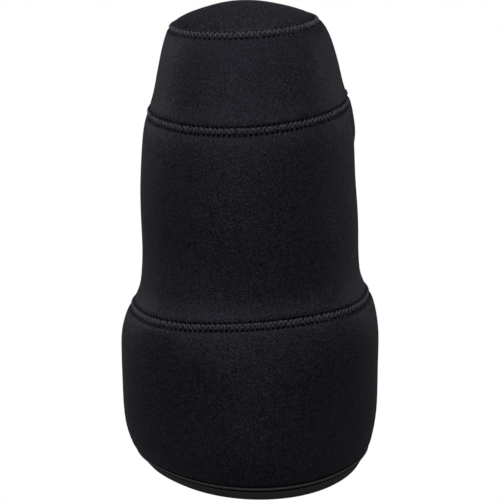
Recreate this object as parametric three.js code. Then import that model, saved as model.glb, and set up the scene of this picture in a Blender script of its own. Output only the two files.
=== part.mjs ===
// Neoprene cover for a long camera lens, standing on its open hem with the closed end cap on top.
// Millimetres, +Z up, the front of the cover faces -Y.
// Four panels are cut from flat neoprene laminate. The lower three are rolled into sleeves that meet edge
// to edge down the back, and flat two-needle stitching joins all of them. Elastic tape binds the hem.
import * as THREE from 'three';

// Driving dimensions
const hoodSeamHeight = 84;
const taperSeamHeight = 178;
const capSeamHeight = 217;
const crownHeight = 226.6;
const neopreneThickness = 3.5;
const touchingGap = 0.3;

// Flat stitching: a band of thread over each butted seam, sunk into the foam that it squeezes
const needleSpacing = 4.2;
const threadThickness = 0.6;
const threadProud = 0.1;
const seamSink = threadThickness - threadProud + touchingGap;
const grooveHalfWidth = needleSpacing / 2 + touchingGap;
const grooveWall = 0.3;

// Folded elastic tape round the hem
const bindingWidth = 9.9;
const bindingProud = 0.4;
const tapeThickness = 1.1;
const hemSqueeze = tapeThickness - bindingProud + touchingGap;
const rawEdgeRise = 2.2;
const footWidth = 2.6;
const stitchBelowTop = 2.8;
const stitchWidth = 0.9;
const stitchThickness = 0.4;

// Outer surface of the unbent body, from the hem to the crown, as [height, radius]
const hemCorner = { r: 51.8, z: 0 };
const hoodProfile = [[0, 51.3], [8, 57.3], [14, 59.6], [24, 61.6], [46, 62.2], [66, 62], [79, 59.4]];
const barrelProfile = [[92, 53.2], [102, 51.9], [129, 51.4], [162, 50], [171, 49]];
const taperProfile = [[186, 44.5], [196, 42.2], [209, 38.7], [214.5, 36.2]];
const crownProfile = [[220, 28.8], [223.4, 19.4], [225.8, 9.7]];
const hoodSeamRadius = 56.7;
const taperSeamRadius = 47;
const capSeamRadius = 34;

// How the soft cover stands: its sections drift sideways, and its seams aren't level
const sideways = [
  [0, 2.7], [25, 0.6], [52, 0], [109, 0], [144, -1.2], [178, -0.9], [209, -1.9], [227, -4.8],
];
const seamRise = [
  [0, 0], [hoodSeamHeight, 3.1], [taperSeamHeight, 3.4], [capSeamHeight, 3], [crownHeight, 3],
];
const seamPitch = [
  [0, 0], [hoodSeamHeight, -2.2], [taperSeamHeight, 2.9], [capSeamHeight, 0], [crownHeight, 0],
];
const hemPoint = 0.034;
const hemPointAngle = 6;
const hemPointHeight = 50;

// Low bump at the right of the back, just under the taper seam
const bumpAngle = 110;
const bumpHalfAngle = 22;
const bumpDrop = 24;
const bumpReach = 4.4;
const bumpSkew = 0.75;

// Fineness of the faceted solids
const columnCount = 36;
const curveSteps = 24;
const knotClearance = 2;

const degree = Math.PI / 180;

// Smooth line through [position, value] pairs that never overshoots them
function smoothThrough(pairs) {
  const slope = pairs.slice(1).map(([x, y], i) => (y - pairs[i][1]) / (x - pairs[i][0]));
  const tangent = pairs.map((_, i) => {
    if (i === 0) return slope[0];
    if (i === pairs.length - 1) return slope[i - 1];
    const product = slope[i - 1] * slope[i];
    return product > 0 ? (2 * product) / (slope[i - 1] + slope[i]) : 0;
  });
  return (x) => {
    const last = pairs.length - 2;
    const found = pairs.findIndex(([position]) => position > x);
    const i = found < 0 ? last : Math.min(Math.max(found - 1, 0), last);
    const width = pairs[i + 1][0] - pairs[i][0];
    const t = THREE.MathUtils.clamp((x - pairs[i][0]) / width, 0, 1);
    const start = (1 + 2 * t) * (1 - t) ** 2 * pairs[i][1] + t * (1 - t) ** 2 * width * tangent[i];
    const end = t * t * (3 - 2 * t) * pairs[i + 1][1] + t * t * (t - 1) * width * tangent[i + 1];
    return start + end;
  };
}

const sidewaysAt = smoothThrough(sideways);
const riseAt = smoothThrough(seamRise);
const pitchAt = smoothThrough(seamPitch);

function bump(height, angle) {
  const across = (angle - bumpAngle) / bumpHalfAngle;
  const down = (taperSeamHeight - height) / bumpDrop;
  if (Math.abs(across) >= 1 || down <= 0 || down >= 1) return 0;
  return bumpReach * Math.cos((Math.PI / 2) * across) ** 2 * Math.sin(Math.PI * down ** bumpSkew) ** 2;
}

// Places a point of the straight, round body on the cover as it really stands
function stand(radius, height, angle) {
  const nearHem = THREE.MathUtils.smoothstep(hemPointHeight - height, 0, hemPointHeight);
  const pointed = 1 + hemPoint * nearHem * Math.cos(3 * (angle - hemPointAngle) * degree);
  const reach = radius * pointed + bump(height, angle);
  const x = sidewaysAt(height) + reach * Math.sin(angle * degree);
  const y = -reach * Math.cos(angle * degree);
  const z = height + Math.tan(riseAt(height) * degree) * x + Math.tan(pitchAt(height) * degree) * y;
  return [x, y, z];
}

// The outer surface in profile, walked by its length from the hem; the point past the crown levels its top
function makeProfile() {
  const pairs = [
    ...hoodProfile, [hoodSeamHeight, hoodSeamRadius],
    ...barrelProfile, [taperSeamHeight, taperSeamRadius],
    ...taperProfile, [capSeamHeight, capSeamRadius],
    ...crownProfile, [crownHeight, 0],
  ];
  const [pastHeight, pastRadius] = crownProfile[crownProfile.length - 1];
  const knots = [...pairs, [pastHeight, -pastRadius]].map(([z, r]) => new THREE.Vector3(r, 0, z));
  const curve = new THREE.CatmullRomCurve3(knots, false, 'centripetal');
  const points = curve.getPoints(curveSteps * pairs.length).slice(0, curveSteps * (pairs.length - 1) + 1);
  const along = [0];
  points.slice(1).forEach((point, i) => along.push(along[i] + point.distanceTo(points[i])));
  return {
    lengthAt: (height) => along[curveSteps * pairs.findIndex(([z]) => z === height)],
    knotLengths: pairs.map((_, i) => along[curveSteps * i]),
    at(length) {
      const i = Math.min(Math.max(along.findIndex((s) => s >= length), 1), points.length - 1);
      const t = (length - along[i - 1]) / (along[i] - along[i - 1]);
      const point = points[i - 1].clone().lerp(points[i], t);
      const before = points[Math.max(i - 2, 0)];
      const after = points[Math.min(i + 1, points.length - 1)];
      const tangent = after.clone().sub(before).normalize();
      return { r: point.x, z: point.z, inward: { r: -tangent.z, z: tangent.x } };
    },
  };
}

const profile = makeProfile();
const seams = {
  hood: profile.lengthAt(hoodSeamHeight),
  taper: profile.lengthAt(taperSeamHeight),
  cap: profile.lengthAt(capSeamHeight),
};
const crownLength = profile.lengthAt(crownHeight);

// Lengths along one leg of the tape, from its top edge down past the stitch groove to the raw edge it holds
const stitchLength = bindingWidth - stitchBelowTop;
const stitchHalf = stitchWidth / 2 + touchingGap;
const legLengths = [
  bindingWidth, stitchLength + stitchHalf + grooveWall, stitchLength + stitchHalf,
  stitchLength - stitchHalf, stitchLength - stitchHalf - grooveWall, rawEdgeRise,
];

// A point of the wall's section: so far along the profile and so deep under the outer surface
function inWall(length, depth) {
  const p = profile.at(length);
  return { r: p.r + p.inward.r * depth, z: p.z + p.inward.z * depth, outer: p.r };
}

// Columns round the body: even angles, and a few at a set distance from the seam line at the back
const evenAngles = Array.from({ length: columnCount - 1 }, (_, i) => -180 + ((i + 1) * 360) / columnCount);
const backDistances = [touchingGap / 2, grooveHalfWidth, grooveHalfWidth + grooveWall];
const panelColumns = [
  ...backDistances.map((distance) => ({ side: -1, distance })),
  ...evenAngles.map((angle) => ({ angle })),
  ...backDistances.map((distance) => ({ side: 1, distance })).reverse(),
];
const closingColumns = [
  { side: 1, distance: needleSpacing / 2 },
  { side: -1, distance: needleSpacing / 2 },
];

function columnAngle(column, outerRadius) {
  if (column.distance === undefined) return column.angle;
  return column.side * (180 - column.distance / outerRadius / degree);
}

// Closed solid between two faces: sections(column) gives the two chains of one column as pairs of points.
// It runs all the way round, or stops at the first and last column with a flat edge. With crown, the far
// ends of the two chains close on the axis, on one point for each face.
function solid(name, material, columns, sections, { allRound = true, crown = null } = {}) {
  const positions = [];
  const place = (point, angle) => {
    positions.push(...stand(point.r, point.z, angle));
    return positions.length / 3 - 1;
  };
  const rows = columns.map((column) => sections(column).map(
    (pair) => pair.map((point) => place(point, columnAngle(column, point.outer)))));
  const faces = [];
  const quad = (a, b, c, d) => faces.push(a, b, c, a, c, d);
  const last = rows[0].length - 1;
  const poles = crown && crown.map((point) => place(point, 0));
  const turns = allRound ? rows.length : rows.length - 1;
  for (let j = 0; j < turns; j += 1) {
    const here = rows[j];
    const next = rows[(j + 1) % rows.length];
    for (let i = 0; i < last; i += 1) {
      quad(here[i][0], next[i][0], next[i + 1][0], here[i + 1][0]);
      quad(here[i][1], here[i + 1][1], next[i + 1][1], next[i][1]);
    }
    quad(here[0][0], here[0][1], next[0][1], next[0][0]);
    if (poles) {
      faces.push(here[last][0], next[last][0], poles[0]);
      faces.push(here[last][1], poles[1], next[last][1]);
    } else {
      quad(here[last][0], next[last][0], next[last][1], here[last][1]);
    }
  }
  if (!allRound) {
    const first = rows[0];
    const final = rows[rows.length - 1];
    for (let i = 0; i < last; i += 1) {
      quad(first[i][0], first[i + 1][0], first[i + 1][1], first[i][1]);
      quad(final[i][0], final[i][1], final[i + 1][1], final[i + 1][0]);
    }
  }
  return finish(name, material, positions, faces);
}

function signedVolume(positions, faces) {
  const corner = (i) => new THREE.Vector3(...positions.slice(3 * i, 3 * i + 3));
  let volume = 0;
  for (let f = 0; f < faces.length; f += 3) {
    volume += corner(faces[f]).dot(corner(faces[f + 1]).cross(corner(faces[f + 2])));
  }
  return volume / 6;
}

function finish(name, material, positions, faces) {
  const outward = signedVolume(positions, faces) > 0 ? faces : faces.slice().reverse();
  const geometry = new THREE.BufferGeometry();
  geometry.setAttribute('position', new THREE.Float32BufferAttribute(positions, 3));
  geometry.setIndex(outward);
  geometry.computeVertexNormals();
  const mesh = new THREE.Mesh(geometry, material);
  mesh.name = name;
  return mesh;
}

// Stations along a panel: the sunk strips beside its two edges, and the profile's own knots between them
function panelStations(sunkFrom, sunkTo) {
  const from = sunkFrom.lengths[sunkFrom.lengths.length - 1] + grooveWall;
  const to = sunkTo.lengths[0] - grooveWall;
  const clear = profile.knotLengths.filter((s) => s - from > knotClearance && to - s > knotClearance);
  return [
    ...sunkFrom.lengths.map((s) => ({ s, sink: sunkFrom.sink })),
    ...[from, ...clear, to].map((s) => ({ s, sink: 0 })),
    ...sunkTo.lengths.map((s) => ({ s, sink: sunkTo.sink })),
  ];
}

function wallPair(station, extraSink) {
  const sink = Math.max(station.sink, extraSink);
  return [inWall(station.s, sink), inWall(station.s, neopreneThickness - sink)];
}

// A rolled sleeve panel, open by a hair's breadth down the back
function sleevePanel(name, material, stations) {
  const sections = (column) => {
    const sunk = column.distance !== undefined && column.distance <= grooveHalfWidth;
    return stations.map((station) => wallPair(station, sunk ? seamSink : 0));
  };
  return solid(name, material, panelColumns, sections, { allRound: false });
}

const halfGap = touchingGap / 2;

function stripAbove(seam) {
  return { lengths: [seam + halfGap, seam + grooveHalfWidth], sink: seamSink };
}

function stripBelow(seam) {
  return { lengths: [seam - grooveHalfWidth, seam - halfGap], sink: seamSink };
}

function hoodPanel(material) {
  const bound = { lengths: [...legLengths].reverse().concat(bindingWidth + touchingGap), sink: hemSqueeze };
  return sleevePanel('hood_panel', material, panelStations(bound, stripBelow(seams.hood)));
}

function barrelPanel(material) {
  const stations = panelStations(stripAbove(seams.hood), stripBelow(seams.taper));
  return sleevePanel('barrel_panel', material, stations);
}

function taperPanel(material) {
  const stations = panelStations(stripAbove(seams.taper), stripBelow(seams.cap));
  return sleevePanel('taper_panel', material, stations);
}

// The round end cap: a domed disc whose two faces close on the axis
function endCapPanel(material) {
  const rim = panelStations(stripAbove(seams.cap), { lengths: [crownLength], sink: 0 }).slice(0, -2);
  const sections = () => rim.map((station) => wallPair(station, 0));
  const crown = [{ r: 0, z: crownHeight }, { r: 0, z: crownHeight - neopreneThickness }];
  return solid('end_cap_panel', material, panelColumns, sections, { crown });
}

// A band of thread between two depths, on the outer face or mirrored onto the inner face
function bandPair(length, top, bottom, inside) {
  if (!inside) return [inWall(length, top), inWall(length, bottom)];
  return [inWall(length, neopreneThickness - bottom), inWall(length, neopreneThickness - top)];
}

function roundBand(name, material, centre, halfWidth, top, bottom, inside) {
  const lengths = [centre - halfWidth, centre, centre + halfWidth];
  const pairs = lengths.map((s) => bandPair(s, top, bottom, inside));
  return solid(name, material, panelColumns, () => pairs);
}

function seamThreads(seam, material) {
  const half = needleSpacing / 2;
  const top = -threadProud;
  const bottom = threadThickness - threadProud;
  return [
    roundBand(`${seam}_seam_cover_thread`, material, seams[seam], half, top, bottom, false),
    roundBand(`${seam}_seam_looper_thread`, material, seams[seam], half, top, bottom, true),
  ];
}

// The upright band of thread that closes a sleeve down the back, between the round bands at its two ends
function closingThreads(panel, from, to, material) {
  const inner = profile.knotLengths.filter((s) => s - from > knotClearance && to - s > knotClearance);
  const lengths = [from, ...inner, to];
  const sections = (inside) => () => lengths.map(
    (s) => bandPair(s, -threadProud, threadThickness - threadProud, inside));
  return [
    solid(`${panel}_closing_cover_thread`, material, closingColumns, sections(false), { allRound: false }),
    solid(`${panel}_closing_looper_thread`, material, closingColumns, sections(true), { allRound: false }),
  ];
}

// Tape folded round the raw edge: down the outside, flat under the foot, up the inside
function hemBinding(material) {
  const outside = -bindingProud;
  const under = outside + tapeThickness;
  const floor = outside + stitchThickness - threadProud + touchingGap;
  const inGroove = (s) => Math.abs(s - stitchLength) < stitchHalf + grooveWall / 2;
  const leg = legLengths.map((s) => [s, inGroove(s) ? floor : outside]);
  const outerLeg = leg.map(([s, depth]) => [inWall(s, depth), inWall(s, under)]);
  const innerLeg = leg.map(([s, depth]) => [
    inWall(s, neopreneThickness - depth), inWall(s, neopreneThickness - under)]).reverse();
  const footOuter = { ...hemCorner, outer: hemCorner.r };
  const footInner = { r: hemCorner.r - footWidth, z: 0, outer: hemCorner.r };
  const foldLength = rawEdgeRise - touchingGap;
  const pairs = [
    ...outerLeg,
    [footOuter, inWall(foldLength, under)],
    [footInner, inWall(foldLength, neopreneThickness - under)],
    ...innerLeg,
  ];
  return solid('hem_binding', material, panelColumns, () => pairs);
}

function bindingStitches(material) {
  const top = -bindingProud - threadProud;
  const bottom = top + stitchThickness;
  return [
    roundBand('binding_stitch_outer', material, stitchLength, stitchWidth / 2, top, bottom, false),
    roundBand('binding_stitch_inner', material, stitchLength, stitchWidth / 2, top, bottom, true),
  ];
}

function cloth(name, color, roughness) {
  return new THREE.MeshStandardMaterial({ name, color, roughness, metalness: 0 });
}

const materials = {
  neoprene: cloth('neoprene', 0x1e1d22, 0.95),
  thread: cloth('thread', 0x37373d, 0.75),
  binding: cloth('binding', 0x202021, 0.85),
};

function buildCover() {
  const cover = new THREE.Group();
  const bandEnd = needleSpacing / 2 + touchingGap;
  cover.add(
    endCapPanel(materials.neoprene),
    taperPanel(materials.neoprene),
    barrelPanel(materials.neoprene),
    hoodPanel(materials.neoprene),
    hemBinding(materials.binding),
    ...['cap', 'taper', 'hood'].flatMap((seam) => seamThreads(seam, materials.thread)),
    ...closingThreads('taper', seams.taper + bandEnd, seams.cap - bandEnd, materials.thread),
    ...closingThreads('barrel', seams.hood + bandEnd, seams.taper - bandEnd, materials.thread),
    ...closingThreads('hood', bindingWidth + touchingGap, seams.hood - bandEnd, materials.thread),
    ...bindingStitches(materials.thread),
  );
  const box = new THREE.Box3().setFromObject(cover);
  const centre = box.getCenter(new THREE.Vector3());
  cover.position.set(-centre.x, -centre.y, -box.min.z);
  return cover;
}

export default buildCover();
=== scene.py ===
"""Neoprene lens cover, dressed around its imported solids.

Lengths are millimetres and angles degrees, as in the part's own source, until a mesh is made in metres.
Angles round the cover start at the front and grow towards the right, so the closing seams are at 180.
A place in the wall is a length along the profile from the hem, a depth under the plain outer surface
and an angle.
"""

import math

import bmesh
import bpy
import numpy as np
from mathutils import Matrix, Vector


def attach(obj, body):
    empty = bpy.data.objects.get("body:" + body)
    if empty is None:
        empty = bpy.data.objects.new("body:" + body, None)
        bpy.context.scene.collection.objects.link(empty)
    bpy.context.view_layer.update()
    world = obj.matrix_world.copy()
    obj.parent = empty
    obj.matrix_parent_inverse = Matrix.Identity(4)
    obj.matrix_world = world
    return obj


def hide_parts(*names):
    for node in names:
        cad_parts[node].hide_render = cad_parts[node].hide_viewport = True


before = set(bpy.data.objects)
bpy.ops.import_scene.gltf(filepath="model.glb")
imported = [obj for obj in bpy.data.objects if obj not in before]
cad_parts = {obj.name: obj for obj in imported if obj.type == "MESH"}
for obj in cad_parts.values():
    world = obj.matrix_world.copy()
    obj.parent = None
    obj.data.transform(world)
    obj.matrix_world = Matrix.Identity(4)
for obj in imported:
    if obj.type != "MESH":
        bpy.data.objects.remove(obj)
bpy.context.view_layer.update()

METRES = 0.001
SEED = 467

# Profile and leans of the body and the shift that centres it, the same as in the solids
HOOD_SEAM_HEIGHT = 84
TAPER_SEAM_HEIGHT = 178
CAP_SEAM_HEIGHT = 217
CROWN_HEIGHT = 226.6
HOOD_PROFILE = [(0, 51.3), (8, 57.3), (14, 59.6), (24, 61.6), (46, 62.2), (66, 62), (79, 59.4)]
BARREL_PROFILE = [(92, 53.2), (102, 51.9), (129, 51.4), (162, 50), (171, 49)]
TAPER_PROFILE = [(186, 44.5), (196, 42.2), (209, 38.7), (214.5, 36.2)]
CROWN_PROFILE = [(220, 28.8), (223.4, 19.4), (225.8, 9.7)]
HOOD_SEAM_RADIUS = 56.7
TAPER_SEAM_RADIUS = 47
CAP_SEAM_RADIUS = 34
SIDEWAYS = [(0, 2.7), (25, 0.6), (52, 0), (109, 0), (144, -1.2), (178, -0.9), (209, -1.9), (227, -4.8)]
SEAM_RISE = [
    (0, 0), (HOOD_SEAM_HEIGHT, 3.1), (TAPER_SEAM_HEIGHT, 3.4), (CAP_SEAM_HEIGHT, 3), (CROWN_HEIGHT, 3),
]
SEAM_PITCH = [
    (0, 0), (HOOD_SEAM_HEIGHT, -2.2), (TAPER_SEAM_HEIGHT, 2.9), (CAP_SEAM_HEIGHT, 0), (CROWN_HEIGHT, 0),
]
HEM_POINT = 0.034
HEM_POINT_ANGLE = 6
HEM_POINT_HEIGHT = 50
CENTRING = (-0.0274, 0.2132, 0)
PROFILE_STEPS = 40

# Fold at the right of the back, narrower and longer than the low bump of the solids
FOLD_ANGLE = 107
FOLD_HALF_ANGLE = 10.6
FOLD_TOP = 184.5
FOLD_DROP = 51
FOLD_REACH = 4.3
FOLD_SKEW = 0.7

# Soft swells and hollows as (angle, height, half angle, half height, reach)
SOFT_FORMS = [
    (6, 72, 44, 32, -1.8),
    (-42, 88, 36, 34, 2.2),
    (54, 80, 32, 44, 1.6),
    (-36, 36, 44, 36, -2.3),
    (44, 32, 40, 34, -2.1),
    (2, 148, 62, 72, 1.4),
    (97, 168.5, 24, 13.7, -2.1),
    (98, 120, 50, 45, 0.35),
    (96, 202, 50, 22, 0.4),
    (-94, 71, 50, 13, 0.5),
    (-96, 8, 50, 20, 0.7),
    (20, 0, 75, 18, 1.1),
    (-92, 221.5, 55, 5.5, 1.15),
]

# Neoprene laminate and its two-needle flat stitching. Upper is the side of a seam towards the crown.
NEOPRENE = 3.5
HALF_GAP = 0.015
SEAM_DROP = 0.55
SEAM_ZONE = 6
STITCH_PITCH = 2.4
CAP_STITCHES = 89
TAPER_STITCHES = 123
HOOD_STITCHES = 148
NEEDLE_LINE = 1.6
BAND_FLOOR = 0.42
BAND_FLOOR_EDGE = 1.85
UPPER_SHOULDER = 4.75
LOWER_SHOULDER = 3.6
UPPER_TRENCH = 0.14
LOWER_TRENCH = 0.12
TRENCH_HALF = 0.5
UPPER_PIT = 1.5
LOWER_PIT = 2
UPPER_PIT_RADIUS = 0.52
LOWER_PIT_RADIUS = 0.6
LOWER_PIT_HEIGHT = 0.7
PUCKER = 0.1
PUCKER_OFFSET = 0.9
CAP_BITE = 0.45

# Elastic tape folded round the hem, and how it squeezes the cloth
TAPE_WIDTH = 9.1
TAPE_PROUD = 0.4
TAPE_THICKNESS = 1.6
TAPE_STITCH_DROP = 2.0
TAPE_STITCH = TAPE_WIDTH - TAPE_STITCH_DROP
TAPE_STITCHES = 122
RAW_EDGE_RISE = 2.2
HEM_CORNER = 51.8
HEM_CLEARANCE = 0.15
HEM_EDGE = TAPE_WIDTH + HEM_CLEARANCE
HEM_SINK = 1.35
HEM_SHOULDER = 3.4
SHOULDER_MARGIN = 1
HEM_ZONE = HEM_SHOULDER + SHOULDER_MARGIN

# Camera, fitted to the outline and the seams
CAMERA_DISTANCE = 1000
CAMERA_TARGET_HEIGHT = 106.5
CAMERA_ELEVATION = 15.3
CAMERA_LENS = 150
CAMERA_SENSOR = 36
CAMERA_CLIP = 10


# Curves

def smoothstep(start, end, value):
    """Eases from 0 to 1 between start and end."""
    t = np.clip((np.asarray(value, float) - start) / (end - start), 0, 1)
    return t * t * (3 - 2 * t)


def smooth_through(pairs):
    """Smooth line through (position, value) pairs that never overshoots them."""
    x, y = np.array(pairs, float).T
    slope = np.diff(y) / np.diff(x)
    product = slope[:-1] * slope[1:]
    total = slope[:-1] + slope[1:]
    inner = np.where(product > 0, 2 * product / np.where(product > 0, total, 1), 0)
    tangent = np.concatenate([slope[:1], inner, slope[-1:]])

    def line(value):
        value = np.asarray(value, float)
        i = np.clip(np.searchsorted(x, value, side="right") - 1, 0, len(x) - 2)
        width = x[i + 1] - x[i]
        t = np.clip((value - x[i]) / width, 0, 1)
        start = (1 + 2 * t) * (1 - t) ** 2 * y[i] + t * (1 - t) ** 2 * width * tangent[i]
        end = t * t * (3 - 2 * t) * y[i + 1] + t * t * (t - 1) * width * tangent[i + 1]
        return start + end

    return line


def catmull_rom(knots, steps):
    """Centripetal curve through the knots, with that many points to a span."""
    knots = np.array(knots, float)
    around = np.vstack([2 * knots[0] - knots[1], knots, 2 * knots[-1] - knots[-2]])
    t = np.arange(steps)[:, None] / steps
    spans = []
    for p0, p1, p2, p3 in zip(around[:-3], around[1:-2], around[2:-1], around[3:]):
        d0, d1, d2 = (math.sqrt(np.linalg.norm(b - a)) for a, b in ((p0, p1), (p1, p2), (p2, p3)))
        m1 = ((p1 - p0) / d0 - (p2 - p0) / (d0 + d1) + (p2 - p1) / d1) * d1
        m2 = ((p2 - p1) / d1 - (p3 - p1) / (d1 + d2) + (p3 - p2) / d2) * d1
        cubic = 2 * (p1 - p2) + m1 + m2
        square = 3 * (p2 - p1) - 2 * m1 - m2
        spans.append(p1 + m1 * t + square * t**2 + cubic * t**3)
    return np.vstack([*spans, knots[-1:]])


# Profile of the body, from the hem to the crown

PROFILE_KNOTS = [
    *HOOD_PROFILE, (HOOD_SEAM_HEIGHT, HOOD_SEAM_RADIUS),
    *BARREL_PROFILE, (TAPER_SEAM_HEIGHT, TAPER_SEAM_RADIUS),
    *TAPER_PROFILE, (CAP_SEAM_HEIGHT, CAP_SEAM_RADIUS),
    *CROWN_PROFILE, (CROWN_HEIGHT, 0),
]
PAST_CROWN = (CROWN_PROFILE[-1][0], -CROWN_PROFILE[-1][1])
PROFILE_END = PROFILE_STEPS * (len(PROFILE_KNOTS) - 1) + 1
LINE = catmull_rom([*PROFILE_KNOTS, PAST_CROWN], PROFILE_STEPS)[:PROFILE_END]
ALONG = np.concatenate([[0], np.cumsum(np.linalg.norm(np.diff(LINE, axis=0), axis=1))])
TANGENT = np.gradient(LINE, ALONG, axis=0)


def length_at(height):
    """Length along the profile at the height of one of its knots."""
    return float(ALONG[PROFILE_STEPS * [z for z, _ in PROFILE_KNOTS].index(height)])


HOOD_SEAM = length_at(HOOD_SEAM_HEIGHT) - SEAM_DROP
TAPER_SEAM = length_at(TAPER_SEAM_HEIGHT) - SEAM_DROP
CAP_SEAM = length_at(CAP_SEAM_HEIGHT) - SEAM_DROP
CROWN = length_at(CROWN_HEIGHT)


def outer_radius(length):
    return np.interp(length, ALONG, LINE[:, 1])


# Body as it stands

sideways_at = smooth_through(SIDEWAYS)
rise_at = smooth_through(SEAM_RISE)
pitch_at = smooth_through(SEAM_PITCH)


def fold(height, angle):
    """Soft upright fold at the right of the back, mostly under the taper seam."""
    across = np.clip((angle - FOLD_ANGLE) / FOLD_HALF_ANGLE, -1, 1)
    down = np.clip((FOLD_TOP - height) / FOLD_DROP, 0, 1)
    return FOLD_REACH * np.cos(math.pi / 2 * across) ** 2 * np.sin(math.pi * down**FOLD_SKEW) ** 2


def soft_form(height, angle):
    """The cloth body isn't quite round: gentle swells and hollows that fade out at their edges."""
    reach = 0
    for middle, level, half_angle, half_height, size in SOFT_FORMS:
        across = np.clip((angle - middle) / half_angle, -1, 1)
        along = np.clip((height - level) / half_height, -1, 1)
        reach = reach + size * (np.cos(math.pi / 2 * across) * np.cos(math.pi / 2 * along)) ** 2
    return reach


def stand(radius, height, angle):
    """Places points of the straight, round body on the cover as it really stands."""
    angle = np.mod(angle + 180, 360) - 180
    near_hem = smoothstep(0, HEM_POINT_HEIGHT, HEM_POINT_HEIGHT - height)
    pointed = 1 + HEM_POINT * near_hem * np.cos(np.radians(3 * (angle - HEM_POINT_ANGLE)))
    reach = radius * pointed + fold(height, angle) + soft_form(height, angle)
    x = sideways_at(height) + reach * np.sin(np.radians(angle))
    y = -reach * np.cos(np.radians(angle))
    z = height + np.tan(np.radians(rise_at(height))) * x + np.tan(np.radians(pitch_at(height))) * y
    return np.stack([x + CENTRING[0], y + CENTRING[1], z + CENTRING[2]], axis=-1)


def in_wall(length, depth, angle):
    """Points so far along the profile, so deep under the outer surface and so far round."""
    length, depth, angle = np.broadcast_arrays(length, depth, angle)
    z = np.interp(length, ALONG, LINE[:, 0]) + np.interp(length, ALONG, TANGENT[:, 1]) * depth
    r = outer_radius(length) - np.interp(length, ALONG, TANGENT[:, 0]) * depth
    return stand(r, z, angle)


# Section of a stitched seam

def band_depth(distance):
    """How far a seam squeezes the laminate at a distance from its line.

    The floor has a trench along each row of needle holes, and rises to the plain cloth in a round shoulder.
    """
    d = np.abs(distance)
    upper = distance > 0
    shoulder = np.where(upper, UPPER_SHOULDER, LOWER_SHOULDER)
    t = np.clip((d - BAND_FLOOR_EDGE) / (shoulder - BAND_FLOOR_EDGE), 0, 1)
    trench = np.where(upper, UPPER_TRENCH, LOWER_TRENCH)
    return BAND_FLOOR * (1 - t) ** 2 + trench * np.exp(-(((d - NEEDLE_LINE) / TRENCH_HALF) ** 2))


def needle_marks(place, distance):
    """Pits at the needle holes and the puckers beside them, where place counts stitches along the seam.

    The holes of the lower row lie half a stitch further on.
    """
    upper = distance > 0
    phase = np.where(upper, place, place + 0.5)
    along = (phase - np.round(phase)) * STITCH_PITCH
    across = np.abs(distance) - NEEDLE_LINE
    wide = along / np.where(upper, UPPER_PIT_RADIUS, LOWER_PIT_RADIUS)
    high = across / np.where(upper, UPPER_PIT_RADIUS, LOWER_PIT_HEIGHT)
    pit = np.where(upper, UPPER_PIT, LOWER_PIT) * np.exp(-((wide**2 + high**2) ** 2))
    pucker = PUCKER * np.cos(2 * math.pi * phase) * np.exp(-((across - PUCKER_OFFSET) ** 2))
    return pit + pucker


# Seams round the cover as (length along the profile, stitches, share of the full squeeze)
HOOD_STITCHING = (HOOD_SEAM, HOOD_STITCHES, 1)
TAPER_STITCHING = (TAPER_SEAM, TAPER_STITCHES, 1)
CAP_STITCHING = (CAP_SEAM, CAP_STITCHES, CAP_BITE)


def outer_depth(seams, length, angle):
    """Depth of the outer face of a panel below the plain surface, near the seams round the cover."""
    depth = np.zeros(np.broadcast(length, angle).shape)
    for seam, stitches, bite in seams:
        distance = length - seam
        depth += bite * band_depth(distance) + needle_marks(angle / 360 * stitches, distance)
    return depth


def back_depth(length, distance):
    """Depth of the outer face beside the closing seam down the back, where distance is signed."""
    return band_depth(distance) + needle_marks(length / STITCH_PITCH, distance)


def hem_depth(length):
    """How far the tape squeezes the hem, and the round shoulder above it."""
    t = np.clip((length - HEM_EDGE) / HEM_SHOULDER, 0, 1)
    return HEM_SINK * (1 - t) ** 3


# Meshes

SAME_PLACE = 1e-6
PLACE_DIGITS = 4
FINE_ROW = 0.3
BACK_ROW = 0.4
PLAIN_ROW = 3
INNER_SEAM_ROW = 0.9
COLUMN_WIDTH = 0.35
INNER_COLUMNS = 3
GIRTH_SAMPLES = 50


def add_object(name, points, faces, cloth=None):
    """Makes a closed mesh in metres with its faces outward.

    cloth holds each point's place on the flat cloth, for the materials.
    """
    mesh = bpy.data.meshes.new(name)
    mesh.from_pydata((points * METRES).tolist(), [], faces)
    if cloth is not None:
        layer = mesh.attributes.new("cloth", "FLOAT_VECTOR", "POINT")
        layer.data.foreach_set("vector", np.asarray(cloth, np.float32).ravel())
    solid = bmesh.new()
    solid.from_mesh(mesh)
    bmesh.ops.recalc_face_normals(solid, faces=solid.faces)
    for face in solid.faces:
        face.smooth = True
    solid.to_mesh(mesh)
    solid.free()
    piece = bpy.data.objects.new(name, mesh)
    bpy.context.scene.collection.objects.link(piece)
    return piece


def grid_ids(rows, columns, start=0):
    """Vertex numbers of a grid, row by row."""
    return start + np.arange(rows * columns).reshape(rows, columns)


def closed_round(ids):
    """The grid with its first column once more at the end."""
    return np.hstack([ids, ids[:, :1]])


def quads(ids):
    """Faces of a grid of vertex numbers."""
    a, b, c, d = ids[:-1, :-1], ids[1:, :-1], ids[1:, 1:], ids[:-1, 1:]
    return np.stack([a, b, c, d], axis=-1).reshape(-1, 4).tolist()


def lace(coarse_ids, coarse_at, fine_ids, fine_at):
    """Faces between two chains, where the fine one also has each place of the coarse one."""
    where = np.searchsorted(fine_at, np.asarray(coarse_at) - SAME_PLACE)
    faces = []
    for i in range(len(coarse_ids) - 1):
        run = fine_ids[where[i]:where[i + 1] + 1]
        faces.append([int(coarse_ids[i]), *(int(k) for k in run), int(coarse_ids[i + 1])])
    return faces


def rows_between(start, end, step):
    """Even rows from start to end, at most a step apart."""
    return np.linspace(start, end, max(int(math.ceil((end - start) / step)), 1) + 1)


def merged(*groups):
    """All the places in order, without those that fall together."""
    return np.unique(np.round(np.concatenate(groups), PLACE_DIGITS))


# Panels

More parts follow.
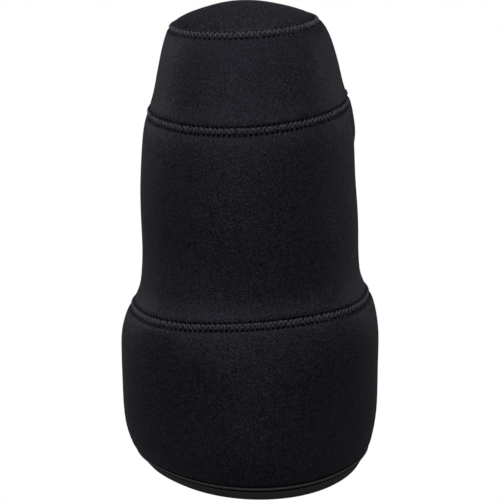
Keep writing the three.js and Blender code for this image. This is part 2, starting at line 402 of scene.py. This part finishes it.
def sleeve_rows(start, end, covered, low_zone, fine_step):
    """Rows of a sleeve: fine beside its two edges, wide between them and where the tape covers it."""
    return merged(rows_between(start, start + covered, PLAIN_ROW),
                  rows_between(start + covered, start + covered + low_zone, fine_step),
                  rows_between(start + covered + low_zone, end - SEAM_ZONE, PLAIN_ROW),
                  rows_between(end - SEAM_ZONE, end, fine_step))


def sleeve_patch(lengths, side, places, face, girth):
    """Points of one patch of a sleeve at each length and place, and where they lie on the flat cloth.

    Beside the back, side is -1 or 1 and places are distances from it. For the rest of the panel, side is 0
    and places are shares of the way round.
    """
    length = lengths[:, None]
    radius = outer_radius(length)
    if side:
        angle = side * (180 - np.degrees(places / radius))
        distance = np.broadcast_to(side * places, angle.shape)
    else:
        angle = places * (180 - np.degrees(SEAM_ZONE / radius))
        distance = np.full(angle.shape, float(SEAM_ZONE))
    depth = face(length, angle, distance)
    flat = np.broadcast_arrays(np.radians(angle) * girth / (2 * math.pi), length, depth)
    return in_wall(length, depth, angle), np.stack(flat, axis=-1)


def sleeve(name, start, end, outer, inner, covered=0, low_zone=SEAM_ZONE):
    """A panel rolled into a sleeve, open down the back.

    outer and inner give the depth of its two faces at a length, an angle and a distance from the back.
    """
    back = rows_between(HALF_GAP, SEAM_ZONE, FINE_ROW)
    girth = 2 * math.pi * float(outer_radius(np.linspace(start, end, GIRTH_SAMPLES)).max())
    shares = np.linspace(-1, 1, int((girth - 2 * SEAM_ZONE) / COLUMN_WIDTH) + 1)[1:-1]
    rows = sleeve_rows(start, end, covered, low_zone, FINE_ROW)
    inner_rows = sleeve_rows(start, end, covered, low_zone, INNER_SEAM_ROW)
    back_rows = merged(rows, inner_rows, rows_between(start, end, BACK_ROW))
    chosen = np.unique(np.append(np.arange(0, len(shares), INNER_COLUMNS), len(shares) - 1))
    patches = [
        sleeve_patch(back_rows, -1, back, outer, girth),
        sleeve_patch(rows, 0, shares, outer, girth),
        sleeve_patch(back_rows, 1, back[::-1], outer, girth),
        sleeve_patch(inner_rows, -1, back, inner, girth),
        sleeve_patch(inner_rows, 0, shares[chosen], inner, girth),
        sleeve_patch(inner_rows, 1, back[::-1], inner, girth),
    ]
    points = np.vstack([placed.reshape(-1, 3) for placed, _ in patches])
    cloth = np.vstack([flat.reshape(-1, 3) for _, flat in patches])
    sizes = [placed.shape[0] * placed.shape[1] for placed, _ in patches]
    starts = np.cumsum([0, *sizes[:-1]])
    numbered = [grid_ids(*placed.shape[:2], first) for (placed, _), first in zip(patches, starts)]
    left, middle, right = numbered[:3]
    inside = np.hstack(numbered[3:])
    faces = quads(left) + quads(middle) + quads(right) + quads(inside)
    faces += lace(middle[:, 0], rows, left[:, -1], back_rows)
    faces += lace(middle[:, -1], rows, right[:, 0], back_rows)
    faces += lace(inside[:, 0], inner_rows, left[:, 0], back_rows)
    faces += lace(inside[:, -1], inner_rows, right[:, -1], back_rows)
    columns = np.arange(2 * len(back) + len(shares))
    inner_columns = np.concatenate([columns[:len(back)], len(back) + chosen, columns[-len(back):]])
    for edge in (0, -1):
        rim = np.concatenate([left[edge], middle[edge], right[edge]])
        faces += lace(inside[edge], inner_columns, rim, columns)
    return add_object(name, points, faces, cloth)


def panel_faces(seams, hem=False):
    """Depth functions of a sleeve's outer and inner faces, squeezed by its seams and by the tape."""

    def with_hem(depth, length):
        return np.maximum(depth, hem_depth(length)) if hem else depth

    def outer(length, angle, distance):
        depth = np.maximum(outer_depth(seams, length, angle), back_depth(length, distance))
        return with_hem(depth, length)

    def inner(length, angle, distance):
        depth = band_depth(distance)
        for seam, _, bite in seams:
            depth = np.maximum(depth, bite * band_depth(length - seam))
        return NEOPRENE - with_hem(depth, length)

    return outer, inner


def make_hood_panel():
    outer, inner = panel_faces([HOOD_STITCHING], hem=True)
    return sleeve("hood_cover", RAW_EDGE_RISE, HOOD_SEAM - HALF_GAP, outer, inner,
                  covered=HEM_EDGE - RAW_EDGE_RISE, low_zone=HEM_ZONE)


def make_barrel_panel():
    outer, inner = panel_faces([HOOD_STITCHING, TAPER_STITCHING])
    return sleeve("barrel_cover", HOOD_SEAM + HALF_GAP, TAPER_SEAM - HALF_GAP, outer, inner)


def make_taper_panel():
    outer, inner = panel_faces([TAPER_STITCHING, CAP_STITCHING])
    return sleeve("taper_cover", TAPER_SEAM + HALF_GAP, CAP_SEAM - HALF_GAP, outer, inner)


CAP_COLUMNS_TO_STITCH = 9
CAP_COLUMNS = CAP_COLUMNS_TO_STITCH * CAP_STITCHES
CROWN_CLEARANCE = 0.5
CAP_STRETCH = 0.6


def cap_rows(fine_step):
    """Rows of the end cap: fine beside its seam, wide towards the crown."""
    start = CAP_SEAM + HALF_GAP
    return merged(rows_between(start, start + SEAM_ZONE, fine_step),
                  rows_between(start + SEAM_ZONE, CROWN - CROWN_CLEARANCE, PLAIN_ROW))[:, None]


def make_end_cap():
    """The domed disc on top; its two faces close on the axis."""
    angle = (np.arange(CAP_COLUMNS) * 360 / CAP_COLUMNS)[None, :]
    outer_rows = cap_rows(FINE_ROW)
    inner_rows = cap_rows(INNER_SEAM_ROW)
    over = in_wall(outer_rows, outer_depth([CAP_STITCHING], outer_rows, angle), angle)
    under = in_wall(inner_rows, NEOPRENE - CAP_BITE * band_depth(inner_rows - CAP_SEAM), angle)
    poles = stand(np.zeros(2), np.array([CROWN_HEIGHT, CROWN_HEIGHT - NEOPRENE]), np.zeros(2))
    points = np.vstack([over.reshape(-1, 3), under.reshape(-1, 3), poles])
    over_ids = grid_ids(len(outer_rows), CAP_COLUMNS)
    under_ids = grid_ids(len(inner_rows), CAP_COLUMNS, over_ids.size)
    faces = quads(closed_round(over_ids)) + quads(closed_round(under_ids))
    faces += quads(closed_round(np.stack([over_ids[0], under_ids[0]])))
    for ids, pole in ((over_ids, len(points) - 2), (under_ids, len(points) - 1)):
        ring = closed_round(ids[-1:])[0].tolist()
        faces += [[a, b, pole] for a, b in zip(ring[:-1], ring[1:])]
    return add_object("end_cap_cover", points, faces, points * CAP_STRETCH)


# Threads. A stitch is a list of (share of the pitch, distance from the seam line, depth).

LOOP_STITCH = [
    (-0.5, -0.8, 1.6), (-0.42, -0.75, 1.0), (-0.35, -0.5, 0.3), (-0.28, 0.05, -0.12),
    (-0.18, 0.7, -0.2), (0, 1.0, -0.12), (0.18, 0.7, -0.2), (0.28, 0.05, -0.12),
    (0.35, -0.5, 0.3), (0.42, -0.75, 1.0),
]
INNER_STITCH = [
    (-0.5, -1.55, 0.5), (-0.4, -0.9, 0.15), (-0.25, 0, 0.05), (-0.1, 0.9, 0.15),
    (0, 1.55, 0.5), (0.1, 0.9, 0.15), (0.25, 0, 0.05), (0.4, -0.9, 0.15),
]
TAPE_DASH = [
    (-0.5, 0, 1.3), (-0.4, 0, 1.05), (-0.25, 0, 0.9), (0, 0, 0.85), (0.25, 0, 0.9), (0.4, 0, 1.05),
]
THREAD_RADIUS = 0.31
DASH_RADIUS = 0.17
THICKNESS_SPREAD = 0.12
UNEVEN = 0.24
DASH_UNEVEN = 0.04
UNEVEN_ACROSS = 0.6
UNEVEN_DEPTH = 0.25
UNEVEN_LEAN = 0.5
STITCH_STEPS = 24
FEWEST_STEPS = 2
TUBE_SIDES = 8
SEAM_MARGIN = 0.5
SEAM_END = NEEDLE_LINE + SEAM_MARGIN
HEM_SEAM_END = HEM_EDGE + SEAM_MARGIN


def tube(path, normals, radius, closed):
    """Points and faces of a round thread along a path; each point has the surface's normal."""
    if closed:
        tangent = np.roll(path, -1, axis=0) - np.roll(path, 1, axis=0)
    else:
        tangent = np.gradient(path, axis=0)
    tangent /= np.linalg.norm(tangent, axis=1, keepdims=True)
    side = np.cross(tangent, normals)
    side /= np.linalg.norm(side, axis=1, keepdims=True)
    up = np.cross(side, tangent)
    turn = np.arange(TUBE_SIDES) * 2 * math.pi / TUBE_SIDES
    spokes = np.cos(turn)[None, :, None] * up[:, None, :] + np.sin(turn)[None, :, None] * side[:, None, :]
    points = path[:, None, :] + np.reshape(radius, (-1, 1, 1)) * spokes
    ids = grid_ids(len(path), TUBE_SIDES)
    if closed:
        faces = quads(closed_round(np.vstack([ids, ids[:1]])))
    else:
        faces = quads(closed_round(ids)) + [ids[0].tolist(), ids[-1].tolist()]
    return points.reshape(-1, 3), faces


def stitch_line(stitch, count, closed, uneven, random):
    """(place in stitches, distance, depth) of a thread that repeats a stitch, each a little different."""
    base = np.array(stitch, float)
    knots = np.tile(base, (count, 1))
    knots[:, 0] += np.repeat(np.arange(count), len(base))
    knots[:, 1:] += uneven * random.normal(size=(len(knots), 2)) * (UNEVEN_ACROSS, UNEVEN_DEPTH)
    lean = np.repeat(random.normal(size=count), len(base)) * uneven * UNEVEN_LEAN
    knots[:, 0] += lean * (1 - np.abs(knots[:, 0] - np.round(knots[:, 0])) * 2)
    if closed:
        knots = np.vstack([knots, knots[:1] + (count, 0, 0)])
    line = catmull_rom(knots, max(STITCH_STEPS // len(base), FEWEST_STEPS))
    return (line[:-1] if closed else line).T


def thread_in_wall(length, depth, angle, radius, inside, closed, random):
    """A thread along places in the wall. Inside, its depth counts from the inner face."""
    if inside:
        depth = NEOPRENE - depth
    path = in_wall(length, depth, angle)
    away = path - in_wall(length, depth + 1, angle)
    thickness = radius * (1 + THICKNESS_SPREAD * random.normal(size=len(path)))
    return tube(path, away, thickness, closed)


def round_thread(stitch, seam, count, random, radius=THREAD_RADIUS, uneven=UNEVEN, inside=False):
    """A thread all round the cover that follows one seam."""
    place, distance, depth = stitch_line(stitch, count, True, uneven, random)
    return thread_in_wall(seam + distance, depth, place * 360 / count, radius, inside, True, random)


def upright_thread(stitch, start, end, random, inside=False):
    """A thread up the back that closes one sleeve."""
    count = int((end - start) / STITCH_PITCH)
    place, distance, depth = stitch_line(stitch, count, False, UNEVEN, random)
    length = start + (place + 0.5) * (end - start) / count
    angle = 180 - np.degrees(distance / outer_radius(length))
    return thread_in_wall(length, depth, angle, THREAD_RADIUS, inside, False, random)


def make_round_seam(name, seam, count, random):
    """The cover thread and the looper thread of a seam, each with the node that it stands for."""
    cover = round_thread(LOOP_STITCH, seam, count, random)
    looper = round_thread(INNER_STITCH, seam, count, random, inside=True)
    return [
        (add_object(f"{name}_seam_loops", *cover), f"{name}_seam_cover_thread"),
        (add_object(f"{name}_seam_looper", *looper), f"{name}_seam_looper_thread"),
    ]


def make_closing_seam(name, start, end, random):
    """The same two threads up the back of one sleeve."""
    cover = upright_thread(LOOP_STITCH, start, end, random)
    looper = upright_thread(INNER_STITCH, start, end, random, inside=True)
    return [
        (add_object(f"{name}_closing_loops", *cover), f"{name}_closing_cover_thread"),
        (add_object(f"{name}_closing_looper", *looper), f"{name}_closing_looper_thread"),
    ]


def make_tape_stitches(random):
    """The row of stitches that holds the tape, on both its legs, each with the node that it stands for."""
    row = (TAPE_DASH, TAPE_STITCH, TAPE_STITCHES, random, DASH_RADIUS, DASH_UNEVEN)
    outer = round_thread(*row)
    inner = round_thread(*row, inside=True)
    return [
        (add_object("tape_stitch_front", *outer), "binding_stitch_outer"),
        (add_object("tape_stitch_back", *inner), "binding_stitch_inner"),
    ]


# Hem tape. Its leg is a list of (length along the profile, depth), from the bead's top edge to the foot.

TAPE_BEAD = [
    (9.0, 0.75), (9.13, 0.4), (9.1, 0.05), (8.95, -0.25), (8.7, -0.42), (8.4, -0.46), (8.15, -0.38),
    (8.0, -0.15),
]
TAPE_GROOVE = [
    (7.95, 0.3), (7.9, 0.8), (7.7, 1.1), (6.0, 1.15), (4.9, 1.13), (4.85, 0.95), (5.5, 0.6), (6.05, 0.3),
]
TAPE_BAND = [
    (6.25, 0.02), (6.27, -0.08), (6.0, -0.15), (5.3, -0.2), (4.4, -0.28), (3.3, -0.4), (2.2, -0.5),
    (1.2, -0.55),
]
TAPE_LEG = [*TAPE_BEAD, *TAPE_GROOVE, *TAPE_BAND]
TAPE_COLUMNS = 720
GATHER = 0.07
GATHER_HALF = 0.9

# Flat foot as (radius, height)
FOOT_WIDTH = 2.6
FOOT_ROUNDING = 0.3
FOOT_SIDE = 0.05
FOOT_SIDE_HEIGHT = 0.25
TAPE_FOOT = [
    (HEM_CORNER - FOOT_SIDE, FOOT_SIDE_HEIGHT),
    (HEM_CORNER - FOOT_ROUNDING, 0),
    (HEM_CORNER - FOOT_WIDTH / 2, 0),
    (HEM_CORNER - FOOT_WIDTH + FOOT_ROUNDING, 0),
    (HEM_CORNER - FOOT_WIDTH + FOOT_SIDE, FOOT_SIDE_HEIGHT),
]

# Hidden face of the tape, round the raw edge of the cloth
LINING_DEPTH = TAPE_THICKNESS - TAPE_PROUD
LINING_MIDDLE = 6
LINING_CLEARANCE = 0.3
TAPE_LINING = [TAPE_WIDTH, LINING_MIDDLE, RAW_EDGE_RISE - LINING_CLEARANCE]


def make_tape():
    """Tape folded round the raw edge: an outer leg, a flat foot, an inner leg and a hidden face."""
    angle = (np.arange(TAPE_COLUMNS) * 360 / TAPE_COLUMNS - 180)[None, :]
    length, depth = np.array(TAPE_LEG).T[:, :, None]
    gather = GATHER * np.cos(np.radians(angle * TAPE_STITCHES))
    ripple = gather * np.exp(-(((length - TAPE_STITCH) / GATHER_HALF) ** 2))
    outer_leg = in_wall(length, depth + ripple, angle)
    inner_leg = in_wall(length, NEOPRENE - depth - ripple, angle)[::-1]
    foot_radius, foot_height = np.array(TAPE_FOOT).T[:, :, None]
    foot = stand(foot_radius, foot_height, angle)
    lining = np.array(TAPE_LINING)[:, None]
    hidden = np.concatenate([
        in_wall(lining, NEOPRENE - LINING_DEPTH, angle),
        in_wall(lining, LINING_DEPTH, angle)[::-1],
    ])
    section = np.concatenate([outer_leg, foot, inner_leg, hidden])
    ids = grid_ids(len(section), TAPE_COLUMNS)
    faces = quads(closed_round(np.vstack([ids, ids[:1]])))
    across = np.arange(len(section))[:, None]
    # Depth of the tape's face, which its material uses to paint shade inside the groove
    sunk = np.concatenate([depth, np.zeros((len(foot), 1)), depth[::-1], np.zeros((len(hidden), 1))])
    cloth = np.stack(np.broadcast_arrays(np.radians(angle) * HEM_CORNER, across, sunk), axis=-1)
    return add_object("hem_tape", section.reshape(-1, 3), faces, cloth.reshape(-1, 3))


# Materials

class Shader:
    """Adds and links the nodes of one material."""

    def __init__(self, name):
        self.material = bpy.data.materials.new(name)
        self.material.use_nodes = True
        self.nodes = self.material.node_tree.nodes
        self.links = self.material.node_tree.links
        self.surface = self.nodes["Principled BSDF"]

    def add(self, kind, inputs=None, **settings):
        made = self.nodes.new(kind)
        for key, value in settings.items():
            setattr(made, key, value)
        self.feed(made, inputs or {})
        return made

    def feed(self, target, inputs):
        for key, value in inputs.items():
            if isinstance(value, bpy.types.NodeSocket):
                self.links.new(value, target.inputs[key])
            else:
                target.inputs[key].default_value = value

    def math(self, operation, a, b=0.0):
        return self.add("ShaderNodeMath", {0: a, 1: b}, operation=operation).outputs[0]

    def noise(self, vector, scale, detail, roughness):
        settings = {"Vector": vector, "Scale": scale, "Detail": detail, "Roughness": roughness}
        return self.add("ShaderNodeTexNoise", settings).outputs["Fac"]

    def ramp(self, factor, low, high, start=0.0, end=1.0):
        made = self.add("ShaderNodeValToRGB", {"Fac": factor})
        made.color_ramp.elements[0].position = start
        made.color_ramp.elements[0].color = (*low, 1)
        made.color_ramp.elements[1].position = end
        made.color_ramp.elements[1].color = (*high, 1)
        return made.outputs["Color"]

    def bump(self, height, reach, strength):
        """Relief of a height, where reach is in millimetres."""
        settings = {"Height": height, "Distance": reach * METRES, "Strength": strength}
        return self.add("ShaderNodeBump", settings).outputs["Normal"]


# Knit of the laminate: loops by width and height, and how strongly each part shows in relief and shade
KNIT_WALE = 0.42
KNIT_COURSE = 0.38
KNIT_WANDER = 0.8
LOOP_RELIEF = 0.35
WALE_RELIEF = 2.0
KNIT_RELIEF = 0.1
SPECKLE_RELIEF = 0.3
LEAN_RELIEF = 0.9
SPECKLE_SHARE = 0.15
GLINT_SHARE = 0.85
GLINT_POWER = 3.0
JERSEY_ROUGHNESS = 0.3
PATCH_ROUGHNESS = 0.1
JERSEY_DARK = (0.0004, 0.0004, 0.0005)
JERSEY_LIGHT = (0.066, 0.063, 0.084)
JERSEY_SHEEN = 0.14

# Ribbed tape with painted shade in its groove: its colour and gloss fade to black between two depths
RIB_PITCH = 0.7
RIB_RELIEF = 0.5
GROOVE_MOUTH = 0.2
GROOVE_INSIDE = 0.45
UNLIT = (0, 0, 0)
TAPE_GLOSS = (0.88, 0.86, 1.0)
TAPE_DARK = (0.003, 0.003, 0.003)
TAPE_LIGHT = (0.095, 0.095, 0.095)

# Spun thread
THREAD_ROUGHNESS = 0.3
FIBRE_ROUGHNESS = 0.2
THREAD_DARK = (0.047, 0.044, 0.059)
THREAD_LIGHT = (0.213, 0.202, 0.264)


def knit_loops(shader, cloth, place):
    """Fine stocking knit, from the place on the cloth in millimetres.

    Returns its height, how each loop leans, and a chance value that is the same all over a loop.
    """
    parts = shader.add("ShaderNodeSeparateXYZ", {"Vector": cloth})
    wander = shader.math("MULTIPLY", shader.noise(place, scale=120, detail=2, roughness=0.5), KNIT_WANDER)
    across = shader.math("DIVIDE", shader.math("ADD", parts.outputs["X"], wander), KNIT_WALE)
    up = shader.math("DIVIDE", shader.math("SUBTRACT", parts.outputs["Y"], wander), KNIT_COURSE)
    off_middle = shader.math("ABSOLUTE", shader.math("SUBTRACT", shader.math("FRACT", across), 0.5))
    slanted = shader.math("ADD", up, off_middle)
    loops = shader.math("SINE", shader.math("MULTIPLY", slanted, 2 * math.pi))
    knit = shader.math("SUBTRACT", shader.math("MULTIPLY", loops, LOOP_RELIEF),
                       shader.math("MULTIPLY", off_middle, WALE_RELIEF))
    cell = shader.add("ShaderNodeCombineXYZ", {
        "X": shader.math("FLOOR", across), "Y": shader.math("FLOOR", up), "Z": 0.0})
    chance = shader.add("ShaderNodeTexWhiteNoise", {"Vector": cell.outputs["Vector"]}, noise_dimensions="3D")
    odds = shader.add("ShaderNodeSeparateXYZ", {"Vector": chance.outputs["Color"]})

    def lean(odd, line):
        inside = shader.math("SUBTRACT", shader.math("FRACT", line), 0.5)
        return shader.math("MULTIPLY", shader.math("SUBTRACT", odd, 0.5), inside)

    leaning = shader.math("ADD", lean(odds.outputs["X"], across), lean(odds.outputs["Y"], up))
    return knit, leaning, odds.outputs["Z"]


def jersey(name, dark, light, sheen):
    """Knit nylon face of the laminate."""
    shader = Shader(name)
    cloth = shader.add("ShaderNodeAttribute", attribute_name="cloth").outputs["Vector"]
    place = shader.add("ShaderNodeTexCoord").outputs["Object"]
    knit, leaning, chance = knit_loops(shader, cloth, place)
    speckle = shader.noise(place, scale=1000, detail=3, roughness=0.7)
    patches = shader.noise(place, scale=90, detail=3, roughness=0.55)
    glints = shader.math("POWER", chance, GLINT_POWER)
    shade = shader.math("ADD", shader.math("MULTIPLY", speckle, SPECKLE_SHARE),
                        shader.math("MULTIPLY", glints, GLINT_SHARE))
    grain = shader.math("ADD", shader.math("MULTIPLY", knit, KNIT_RELIEF),
                        shader.math("MULTIPLY", speckle, SPECKLE_RELIEF))
    height = shader.math("ADD", grain, shader.math("MULTIPLY", leaning, LEAN_RELIEF))
    roughness = shader.math("ADD", shader.math("MULTIPLY", patches, PATCH_ROUGHNESS), JERSEY_ROUGHNESS)
    shader.feed(shader.surface, {
        "Base Color": shader.ramp(shade, dark, light, 0.05, 0.95),
        "Roughness": roughness,
        "Normal": shader.bump(height, reach=0.2, strength=1.0),
        "Specular IOR Level": 0.5,
        "Specular Tint": (0.8, 0.76, 1.0, 1),
        "Sheen Weight": sheen,
        "Sheen Roughness": 0.3,
        "Sheen Tint": (0.78, 0.7, 1.0, 1),
    })
    return shader.material


def woven_tape(name, dark, light):
    """Ribbed elastic tape, with painted shade inside its groove, where colour and gloss fade to black."""
    shader = Shader(name)
    cloth = shader.add("ShaderNodeAttribute", attribute_name="cloth").outputs["Vector"]
    parts = shader.add("ShaderNodeSeparateXYZ", {"Vector": cloth})
    rib = shader.math("SINE", shader.math("MULTIPLY", parts.outputs["X"], 2 * math.pi / RIB_PITCH))
    place = shader.add("ShaderNodeTexCoord").outputs["Object"]
    fibre = shader.noise(place, scale=1500, detail=2, roughness=0.6)
    # Painted shade in the groove: 1 on the open face and 0 deep inside, darkening the colour and the gloss
    groove_shade_fade = shader.add("ShaderNodeMapRange", {
        "Value": parts.outputs["Z"], "From Min": GROOVE_INSIDE, "From Max": GROOVE_MOUTH}).outputs["Result"]
    height = shader.math("ADD", shader.math("MULTIPLY", rib, RIB_RELIEF), fibre)
    shader.feed(shader.surface, {
        "Base Color": shader.ramp(shader.math("MULTIPLY", fibre, groove_shade_fade), dark, light, 0.0, 0.65),
        "Roughness": 0.45,
        "Normal": shader.bump(height, reach=0.1, strength=0.8),
        "Specular IOR Level": 0.5,
        "Specular Tint": shader.ramp(groove_shade_fade, UNLIT, TAPE_GLOSS),
        "Sheen Weight": 0.1,
        "Sheen Roughness": 0.4,
    })
    return shader.material


def spun_thread(name, dark, light):
    """Textured polyester thread."""
    shader = Shader(name)
    place = shader.add("ShaderNodeTexCoord").outputs["Object"]
    fibre = shader.noise(place, scale=1200, detail=3, roughness=0.7)
    roughness = shader.math("ADD", shader.math("MULTIPLY", fibre, FIBRE_ROUGHNESS), THREAD_ROUGHNESS)
    shader.feed(shader.surface, {
        "Base Color": shader.ramp(fibre, dark, light, 0.35, 0.65),
        "Roughness": roughness,
        "Normal": shader.bump(fibre, reach=0.1, strength=0.7),
        "Specular IOR Level": 0.6,
        "Sheen Weight": 0.3,
        "Sheen Roughness": 0.4,
    })
    return shader.material


# Stage. Softboxes are (name, azimuth, elevation, width, height, power); azimuth 0 is the camera's side.

FLOOR_SIZE = 12000
FLOOR_GREY = 0.2
WORLD_LIGHT = 0.04
SOFTBOX_DISTANCE = 2000
SOFTBOXES = [
    ("key_left", -34, 26, 1900, 1000, 6.0),
    ("fill_right", 42, 32, 1900, 1000, 4.6),
    ("front_low", 0, 6, 1800, 450, 1.1),
    ("side_left", -105, 30, 1200, 1200, 2.4),
    ("side_right", 105, 36, 1200, 1200, 0.3),
    ("rim_left", -130, 8, 900, 600, 1.2),
    ("rim_right", 124, 6, 900, 600, 1.2),
    ("top_back", 180, 50, 1600, 900, 0.75),
    ("overhead", 0, 82, 1600, 1800, 6.0),
]


def grey(value):
    return (value, value, value, 1)


def make_floor():
    """Plain white floor: the camera sees it evenly lit, and it throws back less light than it shows."""
    bpy.ops.mesh.primitive_plane_add(size=FLOOR_SIZE * METRES)
    floor = bpy.context.object
    floor.name = "floor"
    shader = Shader("white_floor")
    matt = {"Base Color": grey(FLOOR_GREY), "Roughness": 0.9, "Specular IOR Level": 0.0}
    shader.feed(shader.surface, matt)
    glow = shader.add("ShaderNodeEmission", {"Color": grey(1), "Strength": 1.0})
    path = shader.add("ShaderNodeLightPath")
    mix = shader.add("ShaderNodeMixShader", {
        0: path.outputs["Is Camera Ray"], 1: shader.surface.outputs["BSDF"], 2: glow.outputs["Emission"]})
    shader.links.new(mix.outputs["Shader"], shader.nodes["Material Output"].inputs["Surface"])
    floor.data.materials.append(shader.material)


def make_world():
    """White backdrop for the camera, which lights the cover only weakly."""
    world = bpy.data.worlds.new("studio")
    bpy.context.scene.world = world
    world.use_nodes = True
    nodes, links = world.node_tree.nodes, world.node_tree.links
    soft = nodes["Background"]
    soft.inputs["Color"].default_value = grey(1)
    soft.inputs["Strength"].default_value = WORLD_LIGHT
    shown = nodes.new("ShaderNodeBackground")
    shown.inputs["Color"].default_value = grey(1)
    path = nodes.new("ShaderNodeLightPath")
    mix = nodes.new("ShaderNodeMixShader")
    links.new(path.outputs["Is Camera Ray"], mix.inputs[0])
    links.new(soft.outputs["Background"], mix.inputs[1])
    links.new(shown.outputs["Background"], mix.inputs[2])
    links.new(mix.outputs["Shader"], nodes["World Output"].inputs["Surface"])


def make_softbox(name, azimuth, elevation, width, height, power):
    a, e = math.radians(azimuth), math.radians(elevation)
    away = Vector((math.sin(a) * math.cos(e), -math.cos(a) * math.cos(e), math.sin(e)))
    light = bpy.data.lights.new(name, "AREA")
    light.shape = "RECTANGLE"
    light.size = width * METRES
    light.size_y = height * METRES
    light.energy = power
    lamp = bpy.data.objects.new(name, light)
    lamp.location = (Vector((0, 0, CAMERA_TARGET_HEIGHT)) + away * SOFTBOX_DISTANCE) * METRES
    lamp.rotation_mode = "QUATERNION"
    lamp.rotation_quaternion = (-away).to_track_quat("-Z", "Y")
    lamp.visible_camera = False
    bpy.context.scene.collection.objects.link(lamp)


def make_camera():
    tilt = math.radians(CAMERA_ELEVATION)
    target = Vector((CENTRING[0], CENTRING[1], CAMERA_TARGET_HEIGHT + CENTRING[2])) * METRES
    back = Vector((0, -math.cos(tilt), math.sin(tilt)))
    camera = bpy.data.cameras.new("camera")
    camera.lens = CAMERA_LENS
    camera.sensor_width = CAMERA_SENSOR
    camera.clip_start = CAMERA_CLIP * METRES
    holder = bpy.data.objects.new("camera", camera)
    holder.location = target + back * CAMERA_DISTANCE * METRES
    holder.rotation_mode = "QUATERNION"
    holder.rotation_quaternion = (-back).to_track_quat("-Z", "Y")
    bpy.context.scene.collection.objects.link(holder)
    bpy.context.scene.camera = holder


# Building


def dress(piece, node, material):
    """Gives a piece its material, parents it to the root body and hides the solid that it stands for."""
    piece.data.materials.append(material)
    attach(piece, "root")
    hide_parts(node)


random = np.random.RandomState(SEED)
black_jersey = jersey("black_jersey", JERSEY_DARK, JERSEY_LIGHT, JERSEY_SHEEN)
black_tape = woven_tape("black_tape", TAPE_DARK, TAPE_LIGHT)
black_thread = spun_thread("black_thread", THREAD_DARK, THREAD_LIGHT)

hood = make_hood_panel()
barrel = make_barrel_panel()
taper = make_taper_panel()
end_cap = make_end_cap()
tape = make_tape()
dress(hood, "hood_panel", black_jersey)
dress(barrel, "barrel_panel", black_jersey)
dress(taper, "taper_panel", black_jersey)
dress(end_cap, "end_cap_panel", black_jersey)
dress(tape, "hem_binding", black_tape)

threads = [
    *make_round_seam("cap", CAP_SEAM, CAP_STITCHES, random),
    *make_round_seam("taper", TAPER_SEAM, TAPER_STITCHES, random),
    *make_round_seam("hood", HOOD_SEAM, HOOD_STITCHES, random),
    *make_closing_seam("taper", TAPER_SEAM + SEAM_END, CAP_SEAM - SEAM_END, random),
    *make_closing_seam("barrel", HOOD_SEAM + SEAM_END, TAPER_SEAM - SEAM_END, random),
    *make_closing_seam("hood", HEM_SEAM_END, HOOD_SEAM - SEAM_END, random),
    *make_tape_stitches(random),
]
for thread, node in threads:
    dress(thread, node, black_thread)

make_floor()
make_world()
for box in SOFTBOXES:
    make_softbox(*box)
bpy.context.scene.view_settings.view_transform = "Standard"
make_camera()
